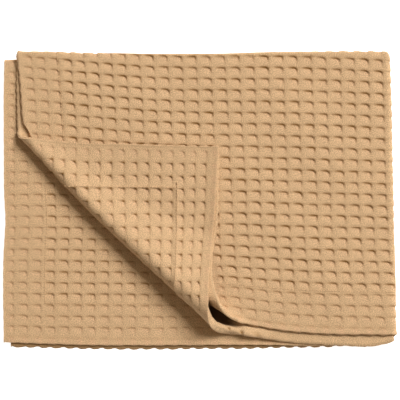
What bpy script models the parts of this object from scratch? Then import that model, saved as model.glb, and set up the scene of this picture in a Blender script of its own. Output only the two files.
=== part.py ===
"""A waffle weave cotton blanket, 1.00 x 0.75 m, folded in four and lying flat.

The cloth is folded once over the crease along the back (+Y) and once over the crease on the
right (+X), so all four hemmed corners lie at the front left. The corner of the upper two
layers is then turned back over a slanting line and rests on top.

Every point of the flat sheet is named by two shares:
    end share  -1 at the end hem of the upper leaf, 0 at the right crease, +1 at the lower end hem
    side share -1 at the hem of the outer layers, 0 at the back crease, +1 at the inner ones
Metres, +Z up. The origin is on the floor, under the middle of the folded blanket.
"""

import bmesh
import bpy
import numpy as np

MM = 0.001

# The cloth
LEAF_LENGTH = 0.500        # half of the blanket's length, along X when folded
LEAF_WIDTH = 0.375         # half of its width, along Y when folded
CLOTH_THICKNESS = 0.0026
LAYER_PITCH = 0.0036       # middle of one layer to the middle of the next

# Where the two creases lie before the blanket is centred
RIGHT_CREASE_X = 0.2494
BACK_CREASE_Y = 0.1925

# How far each layer reaches from the right crease to its end hem, in mm,
# at these shares of the way from the back crease to the front
END_SHARES = (0.0, 0.15, 0.3, 0.48, 0.56, 0.68, 1.0)
END_REACH_MM = {
    "top":    (491.0, 487.0, 484.0, 479.5, 479.0, 479.0, 477.0),
    "second": (491.0, 493.0, 492.5, 491.0, 491.5, 493.5, 493.0),
    "third":  (508.5, 510.7, 511.5, 512.4, 511.6, 515.0, 517.3),
    "bottom": (507.5, 504.5, 504.5, 504.5, 504.5, 505.5, 508.5),
}

# How far each layer reaches from the back crease to its front hem, in mm,
# at these shares of the way from the right crease to the left
SIDE_SHARES = (0.0, 0.05, 0.15, 0.3, 0.45, 0.6, 0.8, 1.0)
SIDE_REACH_MM = {
    "top":    (372.0, 371.5, 371.0, 366.5, 354.5, 347.0, 366.0, 376.0),
    "second": (380.0, 386.0, 386.0, 381.0, 370.0, 366.5, 379.0, 387.5),
    "third":  (380.0, 386.0, 385.3, 383.0, 381.0, 380.0, 377.0, 371.5),
    "bottom": (373.0, 380.5, 385.3, 386.0, 385.2, 384.3, 381.5, 377.0),
}

# The layers' front parts stretch to their hems' curves, and the rest hardly does: a point's
# stretch grows with this power of its side share
HEM_HOLD = 3

# The turned-back corner. It rolls over a line that runs at 45 degrees across the leaf.
# Along that line, in mm from the middle: how far out the roll reaches, the radius of its
# outer layer, how far the inner layer's roll stays back, and how steeply the flap falls.
ROLL_ALONG_MM = (-140.0, -90.0, 0.0, 110.0, 220.0)
ROLL_REACH_MM = (109.5, 111.0, 114.0, 115.5, 111.5)
ROLL_RADIUS_MM = (18.0, 16.0, 12.5, 9.5, 7.0)
ROLL_SETBACK_MM = (20.0, 12.0, 4.0, 2.5, 2.0)
ROLL_FALL_DEG = (12.0, 13.0, 14.0, 14.0, 14.0)
SETTLE_RADIUS = 0.060      # the gentle bend where the flap comes to lie flat

# How uneven the stack lies
LOWER_LEAF_TURN = 0.0215   # slope of the lower leaf against the upper one
STACK_LEAN = 0.0214        # the right crease leans to the right towards the front
BACK_WAVE_AT_MM = (-260.0, -190.0, -130.0, 0.0, 130.0, 260.0)
BACK_WAVE_MM = (1.3, 1.0, -0.7, -2.0, 1.0, 2.0)
STACK_DEPTH = 0.380
CORNER_PULL = 0.0014       # the twice-folded corner is pulled in and round
CORNER_SPREAD = 0.008
SWELL_HEIGHT = 0.0007      # long, low swells of the upper layers
SWELL_LENGTHS = (0.21, 0.17)

# How finely the flat sheet is scored before it is folded
PLAIN_STEP = 0.055
CREASE_STEPS = 8
CREASE_MARGIN = 1.15
ROLL_STEP = 0.0024
FLAP_STEP = 0.014
ROLL_BAND = (0.080, 0.166)
FLAP_END = 0.290

# Colour of the cotton, as linear red, green and blue
COTTON_COLOUR = (0.69, 0.45, 0.23, 1.0)


def clear_scene():
    for found in list(bpy.data.objects):
        bpy.data.objects.remove(found, do_unlink=True)


def smooth_curve(along, stations, heights):
    """A smooth curve through a short table, held level beyond its two ends."""
    stations = np.asarray(stations, float)
    heights = np.asarray(heights, float)
    along = np.clip(along, stations[0], stations[-1])
    step = np.diff(stations)
    rise = np.diff(heights) / step
    slope = np.empty(len(stations))
    slope[1:-1] = (rise[:-1] * step[1:] + rise[1:] * step[:-1]) / (step[:-1] + step[1:])
    slope[0] = rise[0]
    slope[-1] = rise[-1]
    last = len(step) - 1
    span = np.clip(np.searchsorted(stations, along, side="right") - 1, 0, last)
    t = (along - stations[span]) / step[span]
    start_part = (1 + 2 * t) * (1 - t) ** 2 * heights[span]
    end_part = t**2 * (3 - 2 * t) * heights[span + 1]
    slopes_part = t * (1 - t) ** 2 * slope[span] - t**2 * (1 - t) * slope[span + 1]
    return start_part + end_part + step[span] * slopes_part


def layer_reach(end_share, side_share, along, stations, table):
    """Reads the row of the table for the layer that each point lies in, in metres."""
    upper = end_share < 0
    outer = side_share < 0
    reach = np.empty(len(along))
    for layer, mask in (
        ("top", upper & outer),
        ("second", upper & ~outer),
        ("third", ~upper & ~outer),
        ("bottom", ~upper & outer),
    ):
        reach[mask] = smooth_curve(along[mask], stations, table[layer]) * MM
    return reach


def half_turn(along, height, radius):
    """Bends a strip over a crease at 0. Negative places stay above, positive ones go below.

    Returns how far each point lies beyond the crease's start, and its height.
    """
    quarter = np.pi * radius / 2
    angle = np.clip(along, -quarter, quarter) / radius
    out = np.where(
        np.abs(along) > quarter, quarter - np.abs(along), (radius + height) * np.cos(angle)
    )
    return out, -(radius + height) * np.sin(angle)


def fold_in_four(end_share, side_share):
    """Places of the sheet's middle surface after the back crease and the right crease."""
    length = end_share * layer_reach(
        end_share, side_share, np.abs(side_share), END_SHARES, END_REACH_MM
    )
    side_reach = layer_reach(
        end_share, side_share, np.abs(end_share), SIDE_SHARES, SIDE_REACH_MM
    )
    width = side_share * (LEAF_WIDTH + (side_reach - LEAF_WIDTH) * np.abs(side_share) ** HEM_HOLD)
    back, layer_height = half_turn(width, 0.0, LAYER_PITCH / 2)
    right, height = half_turn(length, layer_height, LAYER_PITCH)
    x = RIGHT_CREASE_X - 1.5 * LAYER_PITCH + right
    y = BACK_CREASE_Y - 0.5 * LAYER_PITCH + back
    z = height + 1.5 * LAYER_PITCH + CLOTH_THICKNESS / 2
    return x, y, z


def roll_path(past, radius, fall, settle_drop):
    """The line of a turned-back layer, seen along the roll.

    past is the cloth's length from where it leaves the flat. The line rolls over by half a
    turn and the angle fall, comes down straight, and settles settle_drop above its start.
    Returns how far out and how high each point lies, and the angle it has turned by.
    """
    roll_length = (np.pi + fall) * radius
    height_left = radius * (1 + np.cos(fall)) - SETTLE_RADIUS * (1 - np.cos(fall)) - settle_drop
    fall_length = np.maximum(height_left, 0) / np.sin(fall)
    settle_length = fall * SETTLE_RADIUS
    turned = np.clip(past, 0, roll_length) / radius
    fallen = np.clip(past - roll_length, 0, fall_length)
    settled = np.clip(past - roll_length - fall_length, 0, settle_length) / SETTLE_RADIUS
    level = np.maximum(past - roll_length - fall_length - settle_length, 0)
    out = radius * np.sin(turned) - fallen * np.cos(fall) - level
    out -= SETTLE_RADIUS * (np.sin(fall) - np.sin(fall - settled))
    up = radius * (1 - np.cos(turned)) - fallen * np.sin(fall)
    up -= SETTLE_RADIUS * (np.cos(fall - settled) - np.cos(fall))
    return out, up, turned - settled


def turn_back_corner(x, y, z, end_share, side_share):
    """Rolls the front left corner of the top two layers back over the slanting line."""
    outward = -(x + y) / np.sqrt(2)
    along = (y - x) / np.sqrt(2)
    along_mm = along / MM
    reach = smooth_curve(along_mm, ROLL_ALONG_MM, ROLL_REACH_MM) * MM
    radius = smooth_curve(along_mm, ROLL_ALONG_MM, ROLL_RADIUS_MM) * MM
    setback = smooth_curve(along_mm, ROLL_ALONG_MM, ROLL_SETBACK_MM) * MM
    fall = np.radians(smooth_curve(along_mm, ROLL_ALONG_MM, ROLL_FALL_DEG))
    second = side_share > 0
    start = reach - radius - CLOTH_THICKNESS / 2 - np.where(second, 0, setback)
    inner_radius = radius - LAYER_PITCH - setback * np.tan(fall / 2)
    roll_radius = np.where(second, radius, inner_radius)
    settle_drop = np.where(second, 3 * LAYER_PITCH, LAYER_PITCH)
    out, up, _ = roll_path(outward - start, roll_radius, fall, settle_drop)
    rolled = (end_share < 0) & (z > 2 * LAYER_PITCH) & (outward > start)
    outward = np.where(rolled, start + out, outward)
    z = np.where(rolled, z + up, z)
    return -(outward + along) / np.sqrt(2), (along - outward) / np.sqrt(2), z


def lie_uneven(x, y, z, end_share):
    """Turns the lower leaf a little, leans the stack, and waves and softens its outline."""
    lower_length = np.maximum(end_share, 0) * LEAF_LENGTH
    y = y - LOWER_LEAF_TURN * lower_length
    x = x + STACK_LEAN * (BACK_CREASE_Y - y)
    back_wave = smooth_curve(x / MM, BACK_WAVE_AT_MM, BACK_WAVE_MM) * MM
    y = y + back_wave * np.clip(0.5 + y / STACK_DEPTH, 0, 1)
    to_right = np.maximum(RIGHT_CREASE_X - x, 0)
    to_back = np.maximum(BACK_CREASE_Y - y, 0)
    pull = CORNER_PULL * np.exp(-(to_right + to_back) / CORNER_SPREAD)
    swell = np.sin(2 * np.pi * x / SWELL_LENGTHS[0]) * np.cos(2 * np.pi * y / SWELL_LENGTHS[1])
    lift = SWELL_HEIGHT * swell * np.clip((z - LAYER_PITCH) / (3 * LAYER_PITCH), 0, 1)
    return x - pull, y - pull, z + lift


def place(end_share, side_share):
    """Where points of the flat sheet's middle surface lie in the folded blanket."""
    x, y, z = fold_in_four(end_share, side_share)
    x, y, z = turn_back_corner(x, y, z, end_share, side_share)
    x, y, z = lie_uneven(x, y, z, end_share)
    return np.stack((x, y, z), axis=1)


def score(sheet, faces, point, normal):
    """Cuts a straight line of edges across the given faces of the flat sheet."""
    parts = list(faces)
    parts += {edge for face in faces for edge in face.edges}
    parts += {vert for face in faces for vert in face.verts}
    bmesh.ops.bisect_plane(sheet, geom=parts, plane_co=point, plane_no=normal, dist=1e-6)


def score_straight(sheet, share, axis):
    point = (share, 0, 0) if axis == "end" else (0, share, 0)
    normal = (1, 0, 0) if axis == "end" else (0, 1, 0)
    score(sheet, sheet.faces[:], point, normal)


def score_plain_grid(sheet):
    """Widely spaced lines, which let the flat stretches lie a little uneven."""
    for axis, reach in (("end", LEAF_LENGTH), ("side", LEAF_WIDTH)):
        count = round(reach / PLAIN_STEP)
        for step in range(-count + 1, count):
            score_straight(sheet, step / count, axis)


def score_creases(sheet):
    """Close lines, on which the sheet bends over its two creases."""
    for axis, reach, radius in (
        ("end", LEAF_LENGTH, LAYER_PITCH),
        ("side", LEAF_WIDTH, LAYER_PITCH / 2),
    ):
        half_width = CREASE_MARGIN * np.pi * radius / 2
        for place_on_crease in np.linspace(-half_width, half_width, CREASE_STEPS + 1):
            score_straight(sheet, place_on_crease / reach, axis)


def score_roll(sheet):
    """Slanting lines across the upper two layers, on which the corner rolls back."""
    close = np.arange(ROLL_BAND[0], ROLL_BAND[1], ROLL_STEP)
    wide = np.arange(ROLL_BAND[1], FLAP_END, FLAP_STEP)
    for side in (-1, 1):
        for outward in np.concatenate((close, wide)):
            crossing = outward * np.sqrt(2) + RIGHT_CREASE_X + BACK_CREASE_Y
            upper = [
                face
                for face in sheet.faces
                if face.calc_center_median().x < 0 and face.calc_center_median().y * side > 0
            ]
            point = (0, side * crossing / LEAF_WIDTH, 0)
            score(sheet, upper, point, (-LEAF_LENGTH, side * LEAF_WIDTH, 0))


def flat_sheet():
    """The sheet laid out flat, two shares wide and long, scored wherever it will bend."""
    sheet = bmesh.new()
    bmesh.ops.create_grid(sheet, x_segments=1, y_segments=1, size=1)
    score_plain_grid(sheet)
    score_creases(sheet)
    score_roll(sheet)
    return sheet


def fold_sheet(sheet):
    """Moves the flat sheet's points to their folded places, centred over the origin."""
    shares = np.array([vert.co[:2] for vert in sheet.verts])
    places = place(shares[:, 0], shares[:, 1])
    middle = (places.min(axis=0) + places.max(axis=0)) / 2
    places[:, :2] -= middle[:2]
    for vert, spot in zip(sheet.verts, places):
        vert.co = spot
    bmesh.ops.triangulate(sheet, faces=sheet.faces[:])


def cotton_material():
    cotton = bpy.data.materials.new("sand_cotton")
    cotton.use_nodes = True
    shader = cotton.node_tree.nodes["Principled BSDF"]
    shader.inputs["Base Color"].default_value = COTTON_COLOUR
    shader.inputs["Roughness"].default_value = 0.95
    shader.inputs["Metallic"].default_value = 0.0
    return cotton


def make_blanket(collection):
    sheet = flat_sheet()
    fold_sheet(sheet)
    mesh = bpy.data.meshes.new("blanket")
    sheet.to_mesh(mesh)
    sheet.free()
    mesh.shade_smooth()
    mesh.materials.append(cotton_material())
    blanket = bpy.data.objects.new("blanket", mesh)
    collection.objects.link(blanket)
    thicken = blanket.modifiers.new("cloth thickness", "SOLIDIFY")
    thicken.thickness = CLOTH_THICKNESS
    thicken.offset = 0.0
    return blanket


def main():
    clear_scene()
    collection = bpy.data.collections.new("waffle_blanket")
    bpy.context.scene.collection.children.link(collection)
    make_blanket(collection)


main()
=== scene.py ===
"""The looks of a waffle weave cotton blanket, folded in four with one corner turned back.

The cloth is one closed sheet. It is laid out flat on the grid of its own weave, with close
mesh only where it shows or bends, raised into waffle cells on both faces, and then folded
with the same sizes as the solid it stands for. The stitches of its hems go the same way.
Metres, +Z up.
"""

import bmesh
import bpy
import numpy as np
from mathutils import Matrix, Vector


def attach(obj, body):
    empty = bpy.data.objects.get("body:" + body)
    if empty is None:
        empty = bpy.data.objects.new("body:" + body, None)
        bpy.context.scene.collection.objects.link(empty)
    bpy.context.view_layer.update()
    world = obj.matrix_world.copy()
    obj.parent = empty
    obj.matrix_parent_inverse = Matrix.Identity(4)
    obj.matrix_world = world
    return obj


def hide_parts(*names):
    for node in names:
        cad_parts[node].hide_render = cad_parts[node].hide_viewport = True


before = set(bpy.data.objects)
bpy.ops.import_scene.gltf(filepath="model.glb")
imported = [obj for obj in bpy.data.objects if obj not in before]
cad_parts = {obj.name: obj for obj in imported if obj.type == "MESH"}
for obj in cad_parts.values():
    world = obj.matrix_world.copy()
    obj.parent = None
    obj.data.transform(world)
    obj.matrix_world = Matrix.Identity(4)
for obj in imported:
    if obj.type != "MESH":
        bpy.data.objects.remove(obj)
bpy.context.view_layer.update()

MM = 0.001
FLOOR_GAP = 0.0001         # nothing reaches lower than this over the floor

# ---------------------------------------------------------------- the fold, as in the solid

LEAF_LENGTH = 0.500        # half of the blanket's length, along X when folded
LEAF_WIDTH = 0.375         # half of its width, along Y when folded
SOLID_THICKNESS = 0.0026
LAYER_PITCH = 0.0036       # middle of one layer to the middle of the next

RIGHT_CREASE_X = 0.2494
BACK_CREASE_Y = 0.1925

# How far each layer reaches from the right crease to its end hem, in mm,
# at these shares of the way from the back crease to the front
END_SHARES = (0.0, 0.15, 0.3, 0.48, 0.56, 0.68, 1.0)
END_REACH_MM = {
    "top":    (491.0, 487.0, 484.0, 479.5, 479.0, 479.0, 477.0),
    "second": (491.0, 493.0, 492.5, 491.0, 491.5, 493.5, 493.0),
    "third":  (508.5, 510.7, 511.5, 512.4, 511.6, 515.0, 517.3),
    "bottom": (507.5, 504.5, 504.5, 504.5, 504.5, 505.5, 508.5),
}

# How far each layer reaches from the back crease to its front hem, in mm,
# at these shares of the way from the right crease to the left
SIDE_SHARES = (0.0, 0.05, 0.15, 0.3, 0.45, 0.6, 0.8, 1.0)
SIDE_REACH_MM = {
    "top":    (372.0, 371.5, 371.0, 366.5, 354.5, 347.0, 366.0, 376.0),
    "second": (380.0, 386.0, 386.0, 381.0, 370.0, 366.5, 379.0, 387.5),
    "third":  (380.0, 386.0, 385.3, 383.0, 381.0, 380.0, 377.0, 371.5),
    "bottom": (373.0, 380.5, 385.3, 386.0, 385.2, 384.3, 381.5, 377.0),
}

# The weave runs straight over a leaf: only its last cells follow the hem's curves
HEM_HOLD = 3

# The turned-back corner, in mm from the middle of the slanting line that it rolls over
ROLL_ALONG_MM = (-140.0, -90.0, 0.0, 110.0, 220.0)
ROLL_REACH_MM = (109.5, 111.0, 114.0, 115.5, 111.5)
ROLL_RADIUS_MM = (18.0, 16.0, 12.5, 9.5, 7.0)
ROLL_SETBACK_MM = (20.0, 12.0, 4.0, 2.5, 2.0)
ROLL_FALL_DEG = (12.0, 13.0, 14.0, 14.0, 14.0)
SETTLE_RADIUS = 0.060

LOWER_LEAF_TURN = 0.0215
STACK_LEAN = 0.0214
BACK_WAVE_AT_MM = (-260.0, -190.0, -130.0, 0.0, 130.0, 260.0)
BACK_WAVE_MM = (1.3, 1.0, -0.7, -2.0, 1.0, 2.0)
STACK_DEPTH = 0.380
CORNER_PULL = 0.0014
CORNER_SPREAD = 0.008
SWELL_HEIGHT = 0.0007
SWELL_LENGTHS = (0.21, 0.17)

# ---------------------------------------------------------------- the weave's own grid

# Cells of the waffle from the middle of the folds to each hem
UPPER_CELLS = 27.18
LOWER_CELLS = 28.4
OUTER_CELLS = 25.6
INNER_CELLS = 27.3
FLAP_HEM_SHIFT = 0.28      # the upper end hem is turned a little deeper along the flap
FIRST_COLUMN = -27.215     # where the lines of the sheet's mesh begin and end
LAST_COLUMN = 28.785
FIRST_ROW = -25.61
LAST_ROW = 27.39

# The creases don't quite follow the weave's grain, so they drift across its cells
DRIFT_ROWS = (-25.5, -17.0, -8.0, 0.0, 8.0, 27.3)
RIGHT_CREASE_DRIFT = (-1.33, -0.57, -0.44, -0.41, -0.42, -0.60)
DRIFT_COLUMNS = (-27.2, -18.0, -9.0, 0.0, 4.0, 28.4)
BACK_CREASE_DRIFT = (-1.45, -0.77, -0.55, 0.0, 0.31, 1.62)

# How far the cells of the top leaf and of the flap stray from even spacing. The flap's stray
# sideways changes along its length and towards its hem.
TOP_END_STRAY = -0.096
TOP_SIDE_STRAY = -0.116
FLAP_END_STRAY = 0.14
FLAP_SIDE_STRAY = -0.42
FLAP_STRAY_BY_END = -0.25
FLAP_STRAY_BY_SIDE = 0.76

# Width of the hems in cells
END_HEM = 3.15
FLAP_END_HEM = 3.4
OUTER_HEM = 4.0
INNER_HEM = 3.8


def ramp(x, low, high):
    """0 below low and 1 above high, smooth between them."""
    t = np.clip((x - low) / (high - low), 0, 1)
    return t * t * (3 - 2 * t)


def smooth_curve(along, stations, heights):
    """A smooth curve through a short table, held level beyond its two ends."""
    stations = np.asarray(stations, float)
    heights = np.asarray(heights, float)
    along = np.clip(along, stations[0], stations[-1])
    step = np.diff(stations)
    rise = np.diff(heights) / step
    slope = np.empty(len(stations))
    slope[1:-1] = (rise[:-1] * step[1:] + rise[1:] * step[:-1]) / (step[:-1] + step[1:])
    slope[0] = rise[0]
    slope[-1] = rise[-1]
    last = len(step) - 1
    span = np.clip(np.searchsorted(stations, along, side="right") - 1, 0, last)
    t = (along - stations[span]) / step[span]
    start_part = (1 + 2 * t) * (1 - t) ** 2 * heights[span]
    end_part = t**2 * (3 - 2 * t) * heights[span + 1]
    slopes_part = t * (1 - t) ** 2 * slope[span] - t**2 * (1 - t) * slope[span + 1]
    return start_part + end_part + step[span] * slopes_part


def layer_reach(end_share, side_share, along, stations, table):
    """Reads the row of the table for the layer that each point lies in, in metres."""
    upper = end_share < 0
    outer = side_share < 0
    reach = np.empty(len(along))
    for layer, mask in (
        ("top", upper & outer),
        ("second", upper & ~outer),
        ("third", ~upper & ~outer),
        ("bottom", ~upper & outer),
    ):
        reach[mask] = smooth_curve(along[mask], stations, table[layer]) * MM
    return reach


def half_turn(along, height, radius):
    """Bends a strip over a crease at 0. Negative places stay above, positive ones go below."""
    quarter = np.pi * radius / 2
    angle = np.clip(along, -quarter, quarter) / radius
    out = np.where(
        np.abs(along) > quarter, quarter - np.abs(along), (radius + height) * np.cos(angle)
    )
    return out, -(radius + height) * np.sin(angle)


def fold_in_four(end_share, side_share, height):
    """Places after the back crease and the right crease. height is off the middle surface."""
    length = end_share * layer_reach(
        end_share, side_share, np.abs(side_share), END_SHARES, END_REACH_MM
    )
    side_reach = layer_reach(
        end_share, side_share, np.abs(end_share), SIDE_SHARES, SIDE_REACH_MM
    )
    width = side_share * (LEAF_WIDTH + (side_reach - LEAF_WIDTH) * np.abs(side_share) ** HEM_HOLD)
    back, layer_height = half_turn(width, height, LAYER_PITCH / 2)
    right, up = half_turn(length, layer_height, LAYER_PITCH)
    x = RIGHT_CREASE_X - 1.5 * LAYER_PITCH + right
    y = BACK_CREASE_Y - 0.5 * LAYER_PITCH + back
    z = up + 1.5 * LAYER_PITCH + SOLID_THICKNESS / 2
    return x, y, z


def roll_path(past, radius, fall, settle_drop):
    """The line of a turned-back layer, seen along the roll: how far out, how high, its turn."""
    roll_length = (np.pi + fall) * radius
    height_left = radius * (1 + np.cos(fall)) - SETTLE_RADIUS * (1 - np.cos(fall)) - settle_drop
    fall_length = np.maximum(height_left, 0) / np.sin(fall)
    settle_length = fall * SETTLE_RADIUS
    turned = np.clip(past, 0, roll_length) / radius
    fallen = np.clip(past - roll_length, 0, fall_length)
    settled = np.clip(past - roll_length - fall_length, 0, settle_length) / SETTLE_RADIUS
    level = np.maximum(past - roll_length - fall_length - settle_length, 0)
    out = radius * np.sin(turned) - fallen * np.cos(fall) - level
    out -= SETTLE_RADIUS * (np.sin(fall) - np.sin(fall - settled))
    up = radius * (1 - np.cos(turned)) - fallen * np.sin(fall)
    up -= SETTLE_RADIUS * (np.cos(fall - settled) - np.cos(fall))
    return out, up, turned - settled


def turn_back_corner(x, y, z, end_share, side_share):
    """Rolls the front left corner of the top two layers back over the slanting line."""
    outward = -(x + y) / np.sqrt(2)
    along = (y - x) / np.sqrt(2)
    along_mm = along / MM
    reach = smooth_curve(along_mm, ROLL_ALONG_MM, ROLL_REACH_MM) * MM
    radius = smooth_curve(along_mm, ROLL_ALONG_MM, ROLL_RADIUS_MM) * MM
    setback = smooth_curve(along_mm, ROLL_ALONG_MM, ROLL_SETBACK_MM) * MM
    fall = np.radians(smooth_curve(along_mm, ROLL_ALONG_MM, ROLL_FALL_DEG))
    second = side_share > 0
    start = reach - radius - SOLID_THICKNESS / 2 - np.where(second, 0, setback)
    inner_radius = radius - LAYER_PITCH - setback * np.tan(fall / 2)
    roll_radius = np.where(second, radius, inner_radius)
    settle_drop = np.where(second, 3 * LAYER_PITCH, LAYER_PITCH)
    middle = np.where(second, 2 * LAYER_PITCH, 3 * LAYER_PITCH) + SOLID_THICKNESS / 2
    out, up, angle = roll_path(outward - start, roll_radius, fall, settle_drop)
    inner_side = middle - z
    out += np.sin(angle) * inner_side
    up += middle - np.cos(angle) * inner_side
    rolled = (end_share < 0) & (outward > start)
    outward = np.where(rolled, start + out, outward)
    z = np.where(rolled, up, z)
    return -(outward + along) / np.sqrt(2), (along - outward) / np.sqrt(2), z


def lie_uneven(x, y, z, end_share):
    """Turns the lower leaf a little, leans the stack, and waves and softens its outline."""
    lower_length = np.maximum(end_share, 0) * LEAF_LENGTH
    y = y - LOWER_LEAF_TURN * lower_length
    x = x + STACK_LEAN * (BACK_CREASE_Y - y)
    back_wave = smooth_curve(x / MM, BACK_WAVE_AT_MM, BACK_WAVE_MM) * MM
    y = y + back_wave * np.clip(0.5 + y / STACK_DEPTH, 0, 1)
    to_right = np.maximum(RIGHT_CREASE_X - x, 0)
    to_back = np.maximum(BACK_CREASE_Y - y, 0)
    pull = CORNER_PULL * np.exp(-(to_right + to_back) / CORNER_SPREAD)
    swell = np.sin(2 * np.pi * x / SWELL_LENGTHS[0]) * np.cos(2 * np.pi * y / SWELL_LENGTHS[1])
    lift = SWELL_HEIGHT * swell * np.clip((z - LAYER_PITCH) / (3 * LAYER_PITCH), 0, 1)
    return x - pull, y - pull, z + lift


def place(end_share, side_share, height):
    """Where points lie in the folded blanket, height off the sheet's middle surface."""
    x, y, z = fold_in_four(end_share, side_share, height)
    x, y, z = turn_back_corner(x, y, z, end_share, side_share)
    return np.stack(lie_uneven(x, y, z, end_share), axis=1)


def outline_middle():
    """The middle of the folded blanket's outline, which is the origin."""
    share = np.linspace(-1, 1, 401)
    end, side = (grid.ravel() for grid in np.meshgrid(share, share))
    spots = place(end, side, np.zeros(len(end)))
    return (spots.min(axis=0) + spots.max(axis=0)) / 2 * (1, 1, 0)


# ---------------------------------------------------------------- from weave to folds


def right_crease_at(row):
    """Column of the right crease."""
    return smooth_curve(row, DRIFT_ROWS, RIGHT_CREASE_DRIFT)


def back_crease_at(column):
    """Row of the back crease."""
    return smooth_curve(column, DRIFT_COLUMNS, BACK_CREASE_DRIFT)


def upper_hem_at(row):
    """Column of the upper leaves' end hem."""
    return FLAP_HEM_SHIFT * ramp(row, 0, INNER_CELLS / 2) - UPPER_CELLS


def shares_of(column, row):
    """End and side shares of points given in cells of the weave."""
    right = right_crease_at(row)
    back = back_crease_at(column)
    columns = np.where(column < right, right - upper_hem_at(row), LOWER_CELLS - right)
    rows = np.where(row < back, OUTER_CELLS + back, INNER_CELLS - back)
    end = (column - right) / columns
    side = (row - back) / rows
    on_flap = ramp(side, 0, 0.5) * ramp(-end, 0, 0.5)
    upper = end < 0
    near_hem = np.abs(end) * (1 - np.abs(end))
    near_front = side * (1 - np.abs(side))
    end_stray = TOP_END_STRAY * upper * np.abs(end) * near_hem * (1 - on_flap)
    end_stray -= FLAP_END_STRAY * near_hem * on_flap
    side_stray = TOP_SIDE_STRAY * upper * (side < 0) * end**2 * near_front
    uneven = FLAP_SIDE_STRAY + FLAP_STRAY_BY_END * np.abs(end) + FLAP_STRAY_BY_SIDE * side
    side_stray += uneven * near_front * on_flap
    return end + end_stray, side + side_stray


# ---------------------------------------------------------------- the waffle relief

RIDGE_HEIGHT = 0.0015      # of both faces' ridges over the sheet's middle surface
FACE_PIT = 0.0021
BACK_PIT = 0.0013

# A cell of the upper leaf as it lies. Its pit deepens slowly up and to the right and ends in
# steep walls at its upper and right sides, with a crevice at their foot that is painted dark as
# shade. Each row is read at nine lines an eighth of a cell apart: where the line comes to lie,
# how deep the pit is, the painted shade of the crevice under the upper wall (bar) and beside
# the right one (hook), and how much of the corner between them is rounded off.
CELL_LINES = 9
ON_LINE = 1e-6             # points this little before a line count as on it
ACROSS = {
    "place": (0.0, 0.12, 0.30, 0.48, 0.61, 0.675, 0.745, 0.80, 1.0),
    "depth": (0.0, 0.34, 0.66, 0.82, 0.92, 1.0, 0.16, 0.0, 0.0),
    "bar":   (0.22, 0.50, 0.85, 1.0, 1.0, 1.0, 0.75, 0.30, 0.22),
    "hook":  (0.0, 0.0, 0.0, 0.0, 0.05, 1.0, 0.85, 0.0, 0.0),
    "round": (0.0, 0.0, 0.0, 0.1, 0.45, 0.9, 1.0, 0.4, 0.0),
}
UP = {
    "place": (0.0, 0.14, 0.32, 0.50, 0.63, 0.705, 0.785, 0.85, 1.0),
    "depth": (0.0, 0.20, 0.48, 0.72, 0.88, 1.0, 0.14, 0.0, 0.0),
    "bar":   (0.0, 0.0, 0.0, 0.0, 0.30, 1.0, 0.90, 0.20, 0.0),
    "hook":  (0.0, 0.0, 0.12, 0.55, 0.85, 1.0, 0.75, 0.0, 0.0),
    "round": (0.0, 0.0, 0.05, 0.2, 0.55, 0.9, 1.0, 0.4, 0.0),
}
RELIEF_TURN = 0.25         # the cells turn round this close to a crease, in cells

# No two cells are alike. Each spread is its seed, its least and its most.
DEPTH_SPREAD = (3, 0.75, 1.1)
TICK_SPREAD = (4, 0.6, 1.0)
SLANT_SPREAD = (7, -0.04, 0.12)
ROUNDING_SPREAD = (8, 0.5, 1.3)
COLUMN_WANDER_SEED = 5
ROW_WANDER_SEED = 6
END_SCALLOP_SEED = 11
SIDE_SCALLOP_SEED = 12
ROUNDING_ACROSS = 0.07     # how far the corner of the walls is rounded off, in cells
ROUNDING_UP = 0.12
CELL_WANDER = 0.045        # how far the cells' corners stray, in cells
# painted shade in the cells' crevices, at its darkest
TICK_DARKNESS = 0.95
HOOK_EXTRA = 0.1           # the hooks fade a little less than the bars
LOWER_TICKS = 0.85         # the lower leaf's cells are pressed flatter
LOFT = 0.0005              # the swells' height, and their lengths in cells
LOFT_CELLS = (5.3, 7.1)
LOFT_SLANT = (0.4, 0.3)

# Hems: a flatter waffle and a seam. The fades are from and to, in cells from the hem's edge
# or from its seam.
HEM_FLATNESS = 0.42
HEM_FADE = (-0.3, 0.1)
END_EDGE_FADE = (0.25, 0.7)
SIDE_EDGE_FADE = (0.45, 0.9)
FLAP_FIRST_ROW = 0.55      # strength of the cells along the flap's end hem
FIRST_ROW_FADE = (1.0, 1.3)
SEAM_DEPTH = 0.0002
SEAM_WIDTH = 0.13
SEAM_OVERRUN = 0.2         # the seams run on a little past their corners
FLAP_SEAM = 0.0012         # the flap's seam stands up instead

# Their thick rounded edges, over the half cell next to the hem
BEAD_PLACE = (0.0, 0.08, 0.22, 0.44, 1.0)     # where the mesh's lines lie, as shares
BEAD_SHAPE = (-0.80, 0.10, 0.75, 1.0, 0.0)
BEAD_FADE = (0.2, 1.0)
STACK_BEAD = 0.0007        # height of the edges where they lie pressed in the stack
FLAP_BEAD = 0.0015         # and of the turned-back corner's, on the side that shows
RIM_BULGE = 0.0012
SCALLOP = 0.0007
SCALLOP_SPREAD = 0.6
RIM_PIT = 0.0018           # the hems' edges dip between the cells
RIM_PIT_WIDTH = 0.13
# painted shade in the dips of the hems' edges
RIM_PIT_DARKNESS = 0.55
UNDER_DARKNESS = 0.5       # painted shade on the lowest layer's edge, which lies in the shade of the others
HEM_LIFT = 0.0016          # the flap's side hem rides up over the hem below it
HEM_LIFT_CELLS = 1.6
FIRST_TUCK = 0.009         # the top leaf's end hem stays hidden under the flap's
TUCK_FADE = (0.88, 1.0)
BACK_TICK_FADE = (1.0, 1.5)
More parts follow.
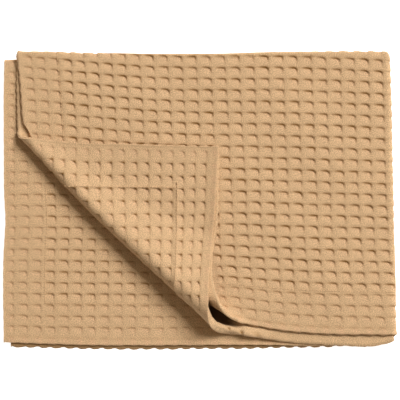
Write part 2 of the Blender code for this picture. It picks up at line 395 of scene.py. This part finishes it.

# The open end of the roll, by share of the way from the right crease to the end hem. The
# second leaf's side hem is thickest there, and the roll's inside is painted dark as shade.
LOOP_FROM = (0.29, 0.41)
LOOP_TO = (0.55, 0.66)
LOOP_BEAD = 0.0070
LOOP_CELLS = (0.0, 0.12, 0.35, 0.85, 1.3)     # from the side hem inwards
LOOP_SHAPE = (0.0, 0.6, 1.0, 0.9, 0.0)
LOOP_PIT = 0.0030
LOOP_PIT_PLACE = 0.5
LOOP_PIT_WIDTH = 0.22
# painted shade in the pits of that hem inside the roll
LOOP_PIT_DARKNESS = 0.95
HOLLOW_FROM = (0.41, 0.45)
HOLLOW_TO = (0.62, 0.75)
HOLLOW_SIDE = 0.9
HOLLOW_FADE = (0.9, 1.2)


def cell_noise(seed, low, high):
    """One number for each cell of the whole sheet."""
    shape = (int(LAST_COLUMN - FIRST_COLUMN) + 5, int(LAST_ROW - FIRST_ROW) + 5)
    return np.random.default_rng(seed).uniform(low, high, shape)


def hem_gaps(column, row):
    """Cells from each point to the nearest end hem and side hem."""
    end = np.minimum(column - upper_hem_at(row), LOWER_CELLS - column)
    side = np.minimum(row + OUTER_CELLS, INNER_CELLS - row)
    return end, side


def hem_widths(column, row):
    """Widths in cells of the end hem and the side hem nearest to each point."""
    on_flap = ramp(row, 0, INNER_CELLS / 2) * (column < 0)
    end = END_HEM + (FLAP_END_HEM - END_HEM) * on_flap
    return end, np.where(row < 0, OUTER_HEM, INNER_HEM)


class Weave:
    """One face of the waffle, at each point of the flat sheet."""

    def __init__(self, column, row, is_back):
        self.column = column
        self.row = row
        across = column - FIRST_COLUMN + (0.0 if is_back else 0.5)
        up = row - FIRST_ROW + (0.5 if is_back else 0.0)
        self.i = np.floor(across + ON_LINE).astype(int)
        self.j = np.floor(up + ON_LINE).astype(int)
        self.s = across - self.i
        self.t = up - self.j
        inner = ramp(row - back_crease_at(column), -RELIEF_TURN, RELIEF_TURN)
        self.lower = ramp(column - right_crease_at(row), -RELIEF_TURN, RELIEF_TURN)
        self.turned_across = 1 - inner if is_back else inner
        self.turned_up = inner if is_back else self.lower
        self.on_flap = (column < 0) & (row > 0)

    def across(self, name):
        """Reads a profile across the cell, turned round where the leaf lies the other way."""
        lines = np.linspace(0, 1, CELL_LINES)
        plain = np.interp(self.s, lines, ACROSS[name])
        turned = np.interp(1 - self.s, lines, ACROSS[name])
        if name == "place":
            turned = 1 - turned
        return plain + (turned - plain) * self.turned_across

    def up(self, name):
        """Reads a profile up the cell in the same way."""
        lines = np.linspace(0, 1, CELL_LINES)
        plain = np.interp(self.t, lines, UP[name])
        turned = np.interp(1 - self.t, lines, UP[name])
        if name == "place":
            turned = 1 - turned
        return plain + (turned - plain) * self.turned_up

    def of_cell(self, seed, low, high):
        """The number of the cell that each point lies in."""
        return cell_noise(seed, low, high)[self.i, self.j]

    def of_corners(self, seed):
        """Smooth noise from -1 to 1 whose numbers sit at the cells' corners."""
        table = cell_noise(seed, -1, 1)
        i, j, s, t = self.i, self.j, self.s, self.t
        low = table[i, j] * (1 - s) + table[i + 1, j] * s
        high = table[i, j + 1] * (1 - s) + table[i + 1, j + 1] * s
        return low * (1 - t) + high * t

    def strength(self):
        """How strong the relief is: less in the hems, and least at their edges."""
        end, side = hem_gaps(self.column, self.row)
        end_hem, side_hem = hem_widths(self.column, self.row)
        hem = np.maximum(
            1 - ramp(end, end_hem + HEM_FADE[0], end_hem + HEM_FADE[1]),
            1 - ramp(side, side_hem + HEM_FADE[0], side_hem + HEM_FADE[1]),
        )
        first_row = 1 - (1 - FLAP_FIRST_ROW) * self.on_flap * (1 - ramp(end, *FIRST_ROW_FADE))
        edge = np.minimum(ramp(end, *END_EDGE_FADE), ramp(side, *SIDE_EDGE_FADE)) * first_row
        return (1 - HEM_FLATNESS * hem * ~self.on_flap) * edge

    def pressed(self):
        """Less than 1 on the lower leaf, whose cells lie under the others' weight."""
        return 1 - (1 - LOWER_TICKS) * self.lower

    def pit(self):
        """How deep the cell's pit is, as a share."""
        depth = self.across("depth") * self.up("depth") * self.strength()
        return depth * self.of_cell(*DEPTH_SPREAD) * self.pressed()

    def crevice(self):
        """How dark the painted shade in the crevice at the foot of the pit's steep walls is."""
        strength = self.strength() * self.of_cell(*TICK_SPREAD)
        bar = np.where(self.on_flap, self.across("round"), self.across("bar")) * self.up("bar")
        hook = self.across("hook") * self.up("hook") * np.minimum(1, strength + HOOK_EXTRA)
        return TICK_DARKNESS * np.maximum(bar, hook) * strength * self.pressed()

    def tile(self):
        """1 in the middle of a cell and 0 on the ridges between the cells."""
        return np.sin(np.pi * self.s) ** 2 * np.sin(np.pi * self.t) ** 2

    def seam(self):
        """1 along the lines of stitches that hold the hems."""
        end, side = hem_gaps(self.column, self.row)
        end_hem, side_hem = hem_widths(self.column, self.row)
        along_end = np.exp(-(((end - end_hem) / SEAM_WIDTH) ** 2))
        along_end *= side > side_hem - SEAM_OVERRUN
        along_side = np.exp(-(((side - side_hem) / SEAM_WIDTH) ** 2))
        along_side *= end > end_hem - SEAM_OVERRUN
        return np.maximum(along_end, along_side)

    def spots(self):
        """Where the points come to lie in the flat sheet, once the pits' walls are steep."""
        rounding = self.across("round") * self.up("round") * self.of_cell(*ROUNDING_SPREAD)
        column = self.column - self.s + self.across("place")
        row = self.row - self.t + self.up("place")
        column -= ROUNDING_ACROSS * rounding * (1 - 2 * self.turned_across)
        row -= ROUNDING_UP * rounding * (1 - 2 * self.turned_up)
        column += CELL_WANDER * self.of_corners(COLUMN_WANDER_SEED)
        row += CELL_WANDER * self.of_corners(ROW_WANDER_SEED)
        inside = 16 * self.s * (1 - self.s) * self.t * (1 - self.t)
        row += inside * (self.s - 0.5) * self.of_cell(*SLANT_SPREAD)
        return column, row


def loft(column, row):
    """The cloth lies a little puffed, in soft swells of a few cells."""
    wave = np.sin(2 * np.pi * (column + LOFT_SLANT[0] * row) / LOFT_CELLS[0])
    wave = wave + np.sin(2 * np.pi * (row - LOFT_SLANT[1] * column) / LOFT_CELLS[1])
    return LOFT * (0.5 + 0.25 * wave)


# ---------------------------------------------------------------- the sheet

FLAT_THICKNESS = 0.2       # of the sheet as it is cut, in cells
FACE_LEVEL = FLAT_THICKNESS / 4

# Where the sheet is meshed finely, in metres: the top leaf shows behind the flap and right of
# it, and the roll takes up a stretch of the way out towards the front left corner
FLAP_RIGHT_X = 0.014
FLAP_BACK_Y = 0.064
ROLL_START = 0.100
ROLL_STOP = 0.170
TOP_PAST_START = 0.010
ROLL_BEFORE_START = 0.015
BACK_HEM_BEFORE_START = 0.020
CORNER_FADE = 0.008

# The hems and creases that get fine mesh too, as shares of the way to the hem
RIM_SHARE = 0.98
THIRD_END_SHARE = 0.96
THIRD_SIDE_SHARE = 0.965
BACK_HEM_SHARE = 0.945
CREASE_SHARE = 0.02


def way_out(end, side):
    """How far points of the stack lie towards its front left corner, and their x and y."""
    x, y, _ = fold_in_four(end, side, np.zeros(len(end)))
    return -(x + y) / np.sqrt(2), x, y


def zone_of(column, row):
    """Extra cuts, 3, 1 or none, that the face and the back of the sheet get at these points."""
    end, side = shares_of(column, row)
    outward, x, y = way_out(end, side)
    upper = end < 0
    outer = side < 0
    top = upper & outer & (outward < ROLL_START + TOP_PAST_START)
    top &= (x > FLAP_RIGHT_X) | (y > FLAP_BACK_Y)
    flap = upper & ~outer & (outward > ROLL_START)
    third_hem = (end > THIRD_END_SHARE) | (side > THIRD_SIDE_SHARE)
    third = ~upper & ~outer & ((outward > ROLL_START) | third_hem)
    near_crease = (np.abs(side) < CREASE_SHARE) | (np.abs(end) < CREASE_SHARE)
    bottom = ~upper & outer
    rims = (np.abs(end) > RIM_SHARE) | (np.abs(side) > RIM_SHARE)
    rolled = upper & (outward > ROLL_START - ROLL_BEFORE_START) & (outward < ROLL_STOP)
    back_hem = upper & (np.abs(side) > BACK_HEM_SHARE)
    back_hem &= outward > ROLL_START - BACK_HEM_BEFORE_START
    face = np.where(bottom | near_crease | rims | rolled, 1, 0)
    face[top | flap | third] = 3
    back = np.where(rolled | rims, 1, 0)
    back[back_hem] = 3
    return face, back


CREASE_LINES = 9
CREASE_MARGIN = 1.2        # the close lines reach this many times as far as the half-turn


def score_crease(sheet, start, end, half_width):
    """Cuts close parallel lines on both sides of a crease, given by its ends in cells."""
    direction = (Vector(end) - Vector(start)).normalized()
    across = Vector((-direction.y, direction.x, 0))
    run = 1 if abs(direction.y) > abs(direction.x) else 0
    for offset in np.linspace(-half_width, half_width, CREASE_LINES):
        faces = [f for f in sheet.faces if start[run] < f.calc_center_median()[run] < end[run]]
        parts = list(faces)
        parts += {edge for face in faces for edge in face.edges}
        parts += {vert for face in faces for vert in face.verts}
        point = Vector(start) + across * offset
        bmesh.ops.bisect_plane(sheet, geom=parts, plane_co=point, plane_no=across, dist=1e-5)


def score_creases(sheet):
    """Close lines along both creases, which the half-turns need."""
    column_margin = np.pi * LAYER_PITCH / 2 / LEAF_LENGTH * UPPER_CELLS * CREASE_MARGIN
    row_margin = np.pi * LAYER_PITCH / 4 / LEAF_WIDTH * OUTER_CELLS * CREASE_MARGIN
    columns = (FIRST_COLUMN, *DRIFT_COLUMNS[1:-1], LAST_COLUMN)
    for column, next_column in zip(columns, columns[1:]):
        start = (column, float(back_crease_at(column)), 0)
        end = (next_column, float(back_crease_at(next_column)), 0)
        score_crease(sheet, start, end, row_margin)
    rows = (FIRST_ROW, *DRIFT_ROWS[1:-1], LAST_ROW)
    for row, next_row in zip(rows, rows[1:]):
        start = (float(right_crease_at(row)), row, 0)
        end = (float(right_crease_at(next_row)), next_row, 0)
        score_crease(sheet, start, end, column_margin)


SHORTEST_CUT_EDGE = 0.3    # in cells


def refine_zones(sheet):
    """Cuts the half cells of the weave finer where the cloth shows or bends."""
    for cuts in (1, 3):
        edges = list(sheet.edges)
        middle = np.array([((e.verts[0].co + e.verts[1].co) / 2)[:] for e in edges])
        length = np.array([(e.verts[0].co.xy - e.verts[1].co.xy).length for e in edges])
        face_cuts, back_cuts = zone_of(middle[:, 0], middle[:, 1])
        wanted = np.maximum(face_cuts, back_cuts)
        wanted = np.where(middle[:, 2] > FACE_LEVEL, face_cuts, wanted)
        wanted = np.where(middle[:, 2] < -FACE_LEVEL, back_cuts, wanted)
        chosen = (wanted == cuts) & (length > SHORTEST_CUT_EDGE)
        bmesh.ops.subdivide_edges(
            sheet,
            edges=[edge for edge, yes in zip(edges, chosen) if yes],
            cuts=cuts,
            use_grid_fill=True,
        )


def flat_sheet():
    """The closed flat sheet in cells of the weave: face at +Z, back at -Z, rim between them."""
    bpy.ops.object.select_all(action="DESELECT")
    columns = round((LAST_COLUMN - FIRST_COLUMN) * 2)
    rows = round((LAST_ROW - FIRST_ROW) * 2)
    bpy.ops.mesh.primitive_grid_add(x_subdivisions=columns, y_subdivisions=rows, size=1)
    cloth = bpy.context.object
    cloth.name = "waffle_cloth"
    cloth.data.name = "waffle_cloth"
    for vert in cloth.data.vertices:
        vert.co.x = FIRST_COLUMN + (vert.co.x + 0.5) * (LAST_COLUMN - FIRST_COLUMN)
        vert.co.y = FIRST_ROW + (vert.co.y + 0.5) * (LAST_ROW - FIRST_ROW)
    thicken = cloth.modifiers.new("two faces", "SOLIDIFY")
    thicken.thickness = FLAT_THICKNESS
    thicken.offset = 0.0
    bpy.ops.object.modifier_apply(modifier=thicken.name)
    sheet = bmesh.new()
    sheet.from_mesh(cloth.data)
    rim_edges = [
        e for e in sheet.edges if abs(e.verts[0].co.z - e.verts[1].co.z) > FLAT_THICKNESS / 2
    ]
    bmesh.ops.subdivide_edges(sheet, edges=rim_edges, cuts=1, use_grid_fill=True)
    score_creases(sheet)
    refine_zones(sheet)
    bmesh.ops.triangulate(sheet, faces=[f for f in sheet.faces if len(f.verts) > 4])
    sheet.to_mesh(cloth.data)
    sheet.free()
    return cloth


def from_hem(flat, first, last):
    """0 on the nearer hem and 1 from half a cell inwards, along one way of the sheet."""
    return np.clip(np.minimum(flat - first, last - flat) / 0.5, 0, 1)


def gather_to_hems(flat, moved, first, last, first_hem, last_hem):
    """Draws the lines of the outermost half cells close to the hems.

    The cells' moved lines fade in past them, so that no line crosses its neighbour.
    """
    moved = flat + (moved - flat) * ramp(np.minimum(flat - first, last - flat), 0.5, 1.0)
    lines = np.linspace(0, 1, len(BEAD_PLACE))
    share = np.interp(from_hem(flat, first, last), lines, BEAD_PLACE)
    hem = np.where(flat < (first + last) / 2, first_hem, last_hem)
    inside = np.where(flat < (first + last) / 2, first + 0.5, last - 0.5)
    return np.where(share < 1, hem + (inside - hem) * share, moved)


def on_turned_corner(end, side):
    """1 where the cloth of the upper two leaves has left the stack, 0 elsewhere."""
    outward = way_out(end, side)[0]
    return (end < 0) * ramp(outward, ROLL_START - CORNER_FADE, ROLL_START + CORNER_FADE)


def seam_rise(turned_back):
    """Height of the hems' seams over the ridges: pressed in, but raised on the flap."""
    return FLAP_SEAM * turned_back - SEAM_DEPTH


class Points:
    """All points of the flat sheet, face, back and rim together, made ready to be folded."""

    def __init__(self, flat):
        self.is_face = flat[:, 2] > FACE_LEVEL
        self.is_back = flat[:, 2] < -FACE_LEVEL
        self.is_rim = ~self.is_face & ~self.is_back
        self.face = Weave(flat[:, 0], flat[:, 1], is_back=False)
        self.back = Weave(flat[:, 0], flat[:, 1], is_back=True)
        self.column, self.row = self.laid_out(flat)
        self.end, self.side = shares_of(self.column, self.row)
        self.second = (self.end < 0) & (self.side > 0)
        self.turned_back = on_turned_corner(self.end, self.side)
        self.find_edges(flat)
        self.find_loop()
        self.height = self.raised()
        self.push_out_edges()

    def laid_out(self, flat):
        """Column and row of each point: steep pits, and the hems' lines drawn close."""
        face_column, face_row = self.face.spots()
        back_column, back_row = self.back.spots()
        column = np.where(self.is_back, back_column, face_column)
        row = np.where(self.is_back, back_row, face_row)
        row = gather_to_hems(flat[:, 1], row, FIRST_ROW, LAST_ROW, -OUTER_CELLS, INNER_CELLS)
        hem = upper_hem_at(row)
        column = gather_to_hems(flat[:, 0], column, FIRST_COLUMN, LAST_COLUMN, hem, LOWER_CELLS)
        return column, row

    def find_edges(self, flat):
        """How near each point is to the hems' edges, and to the dips between their cells."""
        self.end_edge = from_hem(flat[:, 0], FIRST_COLUMN, LAST_COLUMN)
        self.side_edge = from_hem(flat[:, 1], FIRST_ROW, LAST_ROW)
        self.edge = np.minimum(self.end_edge, self.side_edge)
        self.in_edge = 1 - ramp(self.edge, *BEAD_FADE)
        self.to_side_hem = hem_gaps(self.column, self.row)[1]
        along_hem = np.where(self.end_edge < self.side_edge, self.face.t, self.face.s)
        to_line = np.minimum(along_hem, 1 - along_hem)
        self.rim_pit = np.exp(-((to_line / RIM_PIT_WIDTH) ** 2))

    def find_loop(self):
        """Where the second leaf's side hem stands open at the end of the roll."""
        self.in_loop = ramp(-self.end, *LOOP_FROM) * (1 - ramp(-self.end, *LOOP_TO)) * self.second
        to_pit = self.to_side_hem - LOOP_PIT_PLACE
        self.loop_pit = self.rim_pit * self.in_loop * self.is_back
        self.loop_pit *= np.exp(-((to_pit / LOOP_PIT_WIDTH) ** 2))

    def raised(self):
        """Height off the sheet's middle surface: waffle, puffs, seams and thick edges."""
        bead = np.interp(self.edge, np.linspace(0, 1, len(BEAD_SHAPE)), BEAD_SHAPE)
        face_height = RIDGE_HEIGHT - FACE_PIT * self.face.pit() * (1 - self.in_edge)
        face_height += loft(self.column, self.row)
        face_height += seam_rise(self.turned_back) * self.face.seam() + STACK_BEAD * bead

        bead_height = STACK_BEAD + (FLAP_BEAD - STACK_BEAD) * self.turned_back
        loop_shape = np.interp(self.to_side_hem, LOOP_CELLS, LOOP_SHAPE)
        back_height = BACK_PIT * self.back.pit() * (1 - self.in_edge) - RIDGE_HEIGHT
        back_height -= bead_height * bead + LOOP_BEAD * self.in_loop * loop_shape
        back_height += LOOP_PIT * self.loop_pit

        height = np.where(self.is_face, face_height, back_height)
        height = np.where(self.is_rim, (face_height + back_height) / 2, height)
        lift = HEM_LIFT * self.turned_back * self.second
        return height + lift * (1 - ramp(self.to_side_hem, 0, HEM_LIFT_CELLS))

    def scallop(self, along, seed):
        """How far the hem's edge stands out in the middle of a cell, and in at its ends."""
        uneven = SCALLOP_SPREAD * self.face.of_corners(seed)
        return SCALLOP * (0.5 - np.abs(along - 0.5) * 2 + uneven)

    def push_out_edges(self):
        """Rounds and scallops the hems' edges, and tucks the top leaf's under the flap."""
        bulge = self.is_rim * (RIM_BULGE - RIM_PIT * self.rim_pit) - RIM_BULGE
        end_out = self.scallop(self.face.t, END_SCALLOP_SEED)
        end_out = end_out + np.where(self.end_edge == 0, bulge, -RIM_BULGE)
        side_out = self.scallop(self.face.s, SIDE_SCALLOP_SEED)
        side_out = side_out + np.where(self.side_edge == 0, bulge, -RIM_BULGE)
        self.end += np.sign(self.end) * (1 - self.end_edge) * end_out / LEAF_LENGTH
        self.side += np.sign(self.side) * (1 - self.side_edge) * side_out / LEAF_WIDTH
        first = (self.end < 0) & (self.side < 0)
        tucked = self.turned_back * first * ramp(-self.end, *TUCK_FADE)
        self.end += FIRST_TUCK / LEAF_LENGTH * tucked

    def painted_shades(self):
        """Painted shade: dark between the cells' walls, in the dips of the hems and under the
        stack.
        """
        back = self.back.crevice() * ramp(self.to_side_hem, *BACK_TICK_FADE)
        crevice = np.where(self.is_face, self.face.crevice(), np.where(self.is_back, back, 0))
        crevice = crevice * (1 - self.in_edge) + RIM_PIT_DARKNESS * self.rim_pit * self.is_rim
        crevice = np.maximum(crevice, LOOP_PIT_DARKNESS * self.loop_pit)
        under = ~self.is_face * (self.end > 0) * (self.side < 0)
        return np.maximum(crevice, UNDER_DARKNESS * under)

    def hollow(self):
        """Painted shade: 1 inside the open end of the roll, where little light comes."""
        inside = self.second * (self.side > HOLLOW_SIDE) * ramp(-self.end, *HOLLOW_FROM)
        hollow = np.maximum(self.turned_back, inside) * (1 - ramp(-self.end, *HOLLOW_TO))
        return hollow * self.is_back * ramp(self.to_side_hem, *HOLLOW_FADE)

    def shades(self):
        """What the cotton's colour goes by, from 0 to 1, under the names it reads."""
        tile = self.face.tile() * self.is_face
        return {"crevice": self.painted_shades(), "tile": tile, "hollow": self.hollow()}


def folded_spots(end, side, height):
    """Where points come to lie, with the origin under the middle and nothing in the floor."""
    spots = place(end, side, height) - outline_middle()
    spots[:, 2] = np.maximum(spots[:, 2], FLOOR_GAP)
    return spots


def write_weave_uv(mesh, column, row):
    """Keeps each point's place in the weave for the material, in cells."""
    layer = mesh.uv_layers.new(name="weave")
    loops = np.empty(len(mesh.loops), int)
    mesh.loops.foreach_get("vertex_index", loops)
    cells = np.stack((column - FIRST_COLUMN, row - FIRST_ROW), axis=1)[loops]
    layer.data.foreach_set("uv", cells.ravel())


def fold_cloth(cloth):
    """Raises the relief and folds the flat sheet."""
    mesh = cloth.data
    flat = np.empty(len(mesh.vertices) * 3)
    mesh.vertices.foreach_get("co", flat)
    points = Points(flat.reshape(-1, 3))
    spots = folded_spots(points.end, points.side, points.height)
    mesh.vertices.foreach_set("co", spots.ravel())
    mesh.update()
    write_weave_uv(mesh, points.column, points.row)
    for name, values in points.shades().items():
        mesh.attributes.new(name, "FLOAT", "POINT").data.foreach_set("value", values)
    mesh.shade_smooth()


# ---------------------------------------------------------------- the stitches

CELL_WIDTH = 0.0180
CELL_DEPTH = 0.0142
STITCH_PITCH = 0.0046
STITCH_LENGTH = 0.0034
STITCH_RADIUS = 0.0006
STITCH_SIDES = 6
STITCH_PLACES = (-1.0, -0.6, 0.6, 1.0)        # of its rings, as shares of its half length
STITCH_WIDTHS = (0.4, 1.0, 1.0, 0.4)          # of the rings, as shares of its radius
FIRST_STITCH = 0.2         # in cells past the crossing seam


def stitch_lines():
    """Columns and rows of the stitches along the four hems, and which way each line runs."""
    row_step = STITCH_PITCH / CELL_DEPTH
    rows = np.arange(OUTER_HEM - OUTER_CELLS + FIRST_STITCH, INNER_CELLS - INNER_HEM, row_step)
    column_step = STITCH_PITCH / CELL_WIDTH
    first_column = END_HEM - UPPER_CELLS + FIRST_STITCH
    columns = np.arange(first_column, LOWER_CELLS - END_HEM, column_step)
    upper_end = upper_hem_at(rows) + hem_widths(np.full(len(rows), -1.0), rows)[0]
    return (
        (upper_end, rows, (0, 1)),
        (np.full(len(rows), LOWER_CELLS - END_HEM), rows, (0, 1)),
        (columns, np.full(len(columns), OUTER_HEM - OUTER_CELLS), (1, 0)),
        (columns, np.full(len(columns), INNER_CELLS - INNER_HEM), (1, 0)),
    )


def stitch_points():
    """One stitch's points: how far along it, across it and up, ring after ring."""
    rings = range(len(STITCH_PLACES))
    ring, side = (g.ravel() for g in np.meshgrid(rings, range(STITCH_SIDES), indexing="ij"))
    angle = side * 2 * np.pi / STITCH_SIDES
    radius = STITCH_RADIUS * np.array(STITCH_WIDTHS)[ring]
    along = STITCH_LENGTH / 2 * np.array(STITCH_PLACES)[ring]
    return along, radius * np.cos(angle), radius * np.sin(angle)


def stitch_faces():
    """One stitch's faces: bands between its rings, and a cap at each end."""
    faces = []
    last = (len(STITCH_PLACES) - 1) * STITCH_SIDES
    for ring in range(0, last, STITCH_SIDES):
        for k in range(STITCH_SIDES):
            after = (k + 1) % STITCH_SIDES
            above = ring + STITCH_SIDES
            faces.append((ring + k, ring + after, above + after, above + k))
    faces.append(tuple(range(STITCH_SIDES)))
    faces.append(tuple(range(last, last + STITCH_SIDES)))
    return faces


def make_stitches():
    """Short raised stitches along the hems' seams, all in one mesh that follows the folds."""
    along, across, up = stitch_points()
    columns = []
    rows = []
    for column, row, (along_x, along_y) in stitch_lines():
        columns.append(column[:, None] + (along * along_x + across * along_y) / CELL_WIDTH)
        rows.append(row[:, None] + (along * along_y + across * along_x) / CELL_DEPTH)
    column = np.concatenate(columns).ravel()
    row = np.concatenate(rows).ravel()
    end, side = shares_of(column, row)
    height = RIDGE_HEIGHT + loft(column, row) + seam_rise(on_turned_corner(end, side))
    height += np.tile(up, len(column) // len(up))
    spots = folded_spots(end, side, height)
    starts = range(0, len(spots), len(up))
    faces = [tuple(start + k for k in face) for start in starts for face in stitch_faces()]
    mesh = bpy.data.meshes.new("hem_stitches")
    mesh.from_pydata([tuple(spot) for spot in spots], [], faces)
    shell = bmesh.new()
    shell.from_mesh(mesh)
    bmesh.ops.recalc_face_normals(shell, faces=shell.faces)
    shell.to_mesh(mesh)
    shell.free()
    write_weave_uv(mesh, column, row)
    mesh.shade_smooth()
    stitches = bpy.data.objects.new("hem_stitches", mesh)
    bpy.context.scene.collection.objects.link(stitches)
    return stitches


# ---------------------------------------------------------------- the cotton

COTTON_TILE = (0.618, 0.385, 0.214, 1.0)      # pinker, and painted lighter for the cells' puff, in the middle of the cells
COTTON_RIDGE = (0.580, 0.378, 0.204, 1.0)     # yellower, and painted a little darker as shade, on the ridges
# painted shade for the crevices, the dips of the hems and the stack's lowest edge
COTTON_PAINTED_SHADE = (0.225, 0.095, 0.005, 1.0)
COTTON_ROLL_SHADE = (0.070, 0.030, 0.008, 1.0)    # painted shade inside the roll
THREADS_PER_CELL = (17.0, 13.0, 1.0)
FIBRE_SCALE = 0.9          # of the noise, over the threads
PATCH_SCALE = 0.09
FIBRE_CONTRAST = 1.8
PATCH_CONTRAST = 0.22
THREAD_CONTRAST = 0.05
THREAD_RELIEF = 0.5
FIBRE_HEIGHT = 0.0004
COTTON_ROUGHNESS = 0.9


def add_node(tree, kind, inputs=None, output=0, **settings):
    """Adds a node, fills or links its inputs, and gives one of its outputs as a shade."""
    node = tree.nodes.new(kind)
    for name, value in settings.items():
        setattr(node, name, value)
    for name, value in (inputs or {}).items():
        if isinstance(value, Shade):
            tree.links.new(value.socket, node.inputs[name])
        else:
            node.inputs[name].default_value = value
    return Shade(tree, node.outputs[output])


class Shade:
    """One output in a shader tree. Adding or multiplying shades adds the nodes for it."""

    def __init__(self, tree, socket):
        self.tree = tree
        self.socket = socket

    def maths(self, operation, first, second):
        return add_node(self.tree, "ShaderNodeMath", {0: first, 1: second}, operation=operation)

    def __add__(self, other):
        return self.maths("ADD", self, other)

    def __radd__(self, other):
        return self.maths("ADD", other, self)

    def __sub__(self, other):
        return self.maths("SUBTRACT", self, other)

    def __rsub__(self, other):
        return self.maths("SUBTRACT", other, self)

    def __mul__(self, other):
        return self.maths("MULTIPLY", self, other)

    def __rmul__(self, other):
        return self.maths("MULTIPLY", other, self)


def noise(tree, place_on_cloth, scale, detail):
    """Noise around 0, from about -0.5 to 0.5."""
    inputs = {"Vector": place_on_cloth, "Scale": scale, "Detail": detail, "Roughness": 0.6}
    return add_node(tree, "ShaderNodeTexNoise", inputs, noise_dimensions="2D") - 0.5


def mixed(tree, share, plain, other):
    """A mix of two colours, with this share of the other one."""
    return add_node(
        tree, "ShaderNodeMix", {0: share, 6: plain, 7: other}, output=2, data_type="RGBA"
    )


def sine_of_threads(tree, threads, axis):
    """Waves up and down once for every two threads, across one way of the weave."""
    place_on_cloth = add_node(tree, "ShaderNodeSeparateXYZ", {0: threads}, output=axis)
    return add_node(tree, "ShaderNodeMath", {0: place_on_cloth * np.pi}, operation="SINE")


def cotton_material():
    """Sand coloured cotton: matt fibres, tiles partly painted paler, and painted shade in
    crevices and the roll.
    """
    cotton = bpy.data.materials.new("sand_cotton")
    cotton.use_nodes = True
    tree = cotton.node_tree
    shader = tree.nodes["Principled BSDF"]
    shader.inputs["Roughness"].default_value = COTTON_ROUGHNESS
    cells = add_node(tree, "ShaderNodeUVMap", uv_map="weave")
    threads = add_node(
        tree, "ShaderNodeVectorMath", {0: cells, 1: THREADS_PER_CELL}, operation="MULTIPLY"
    )
    crossings = sine_of_threads(tree, threads, 0) * sine_of_threads(tree, threads, 1)
    fibres = noise(tree, threads, FIBRE_SCALE, 3.0)
    patches = noise(tree, threads, PATCH_SCALE, 2.0)
    tile = add_node(tree, "ShaderNodeAttribute", output=2, attribute_name="tile")
    crevice = add_node(tree, "ShaderNodeAttribute", output=2, attribute_name="crevice")
    brightness = 1.0 + fibres * FIBRE_CONTRAST + patches * PATCH_CONTRAST
    brightness = brightness + crossings * THREAD_CONTRAST
    # tiles paler and pinker than the ridges: partly the yarn's tone, partly painted light for the
    # cells' puff
    colour = mixed(tree, tile, COTTON_RIDGE, COTTON_TILE)
    colour = add_node(
        tree, "ShaderNodeVectorMath", {0: colour, "Scale": brightness}, operation="SCALE"
    )
    # painted shade: the crevices darkened
    colour = mixed(tree, crevice, colour, COTTON_PAINTED_SHADE)
    # painted shade inside the roll
    hollow = add_node(tree, "ShaderNodeAttribute", output=2, attribute_name="hollow")
    colour = mixed(tree, hollow, colour, COTTON_ROLL_SHADE)
    tree.links.new(colour.socket, shader.inputs["Base Color"])
    relief = fibres + crossings * THREAD_RELIEF
    bump = add_node(
        tree, "ShaderNodeBump", {"Strength": 0.5, "Distance": FIBRE_HEIGHT, "Height": relief}
    )
    tree.links.new(bump.socket, shader.inputs["Normal"])
    return cotton


# ---------------------------------------------------------------- floor, light and camera

CAMERA_HEIGHT = 1.6        # over the top leaf's face
METRES_PER_PIXEL = 0.00131
FRAME_PIXELS = 400
TOP_FACE = 4 * LAYER_PITCH
FLOOR_SIZE = 6
FLOOR_WHITE = (0.95, 0.95, 0.95, 1)
FLOOR_GLOW = 0.85          # keeps the floor pure white under the soft light
SKY = (1, 0.88, 0.70, 1)
SKY_STRENGTH = 0.24
LIGHT_FROM = (1, 1, 1.35)  # from the back right
LIGHT_DISTANCE = 10
LIGHT_SIZE = 4.2
LIGHT_WATTS = 1245


def make_floor():
    """A plain white floor."""
    bpy.ops.mesh.primitive_plane_add(size=FLOOR_SIZE, location=(0, 0, 0))
    floor = bpy.context.object
    floor.name = "floor"
    white = bpy.data.materials.new("white_floor")
    white.use_nodes = True
    shader = white.node_tree.nodes["Principled BSDF"]
    shader.inputs["Base Color"].default_value = FLOOR_WHITE
    shader.inputs["Emission Color"].default_value = (1, 1, 1, 1)
    shader.inputs["Emission Strength"].default_value = FLOOR_GLOW
    shader.inputs["Roughness"].default_value = 0.9
    floor.data.materials.append(white)


def make_lights():
    """A warm dim sky and one large soft light."""
    world = bpy.data.worlds.new("studio")
    world.use_nodes = True
    sky = world.node_tree.nodes["Background"]
    sky.inputs["Color"].default_value = SKY
    sky.inputs["Strength"].default_value = SKY_STRENGTH
    bpy.context.scene.world = world
    key = bpy.data.lights.new("key", "AREA")
    key.size = LIGHT_SIZE
    key.energy = LIGHT_WATTS
    lamp = bpy.data.objects.new("key", key)
    bpy.context.scene.collection.objects.link(lamp)
    lamp.location = Vector(LIGHT_FROM).normalized() * LIGHT_DISTANCE
    lamp.rotation_euler = (-lamp.location).to_track_quat("-Z", "Y").to_euler()


def make_camera():
    """A camera straight above, at the photo's scale."""
    lens = bpy.data.cameras.new("camera")
    lens.sensor_width = 36
    lens.lens = lens.sensor_width * CAMERA_HEIGHT / (METRES_PER_PIXEL * FRAME_PIXELS)
    camera = bpy.data.objects.new("camera", lens)
    camera.location = Vector((0, 0, TOP_FACE + CAMERA_HEIGHT)) - Vector(outline_middle())
    bpy.context.scene.collection.objects.link(camera)
    bpy.context.scene.camera = camera


make_camera()
cloth = flat_sheet()
fold_cloth(cloth)
stitches = make_stitches()
cotton = cotton_material()
for piece in (cloth, stitches):
    piece.data.materials.append(cotton)
    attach(piece, "root")
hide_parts("blanket")
make_floor()
make_lights()
bpy.context.scene.view_settings.view_transform = "Standard"
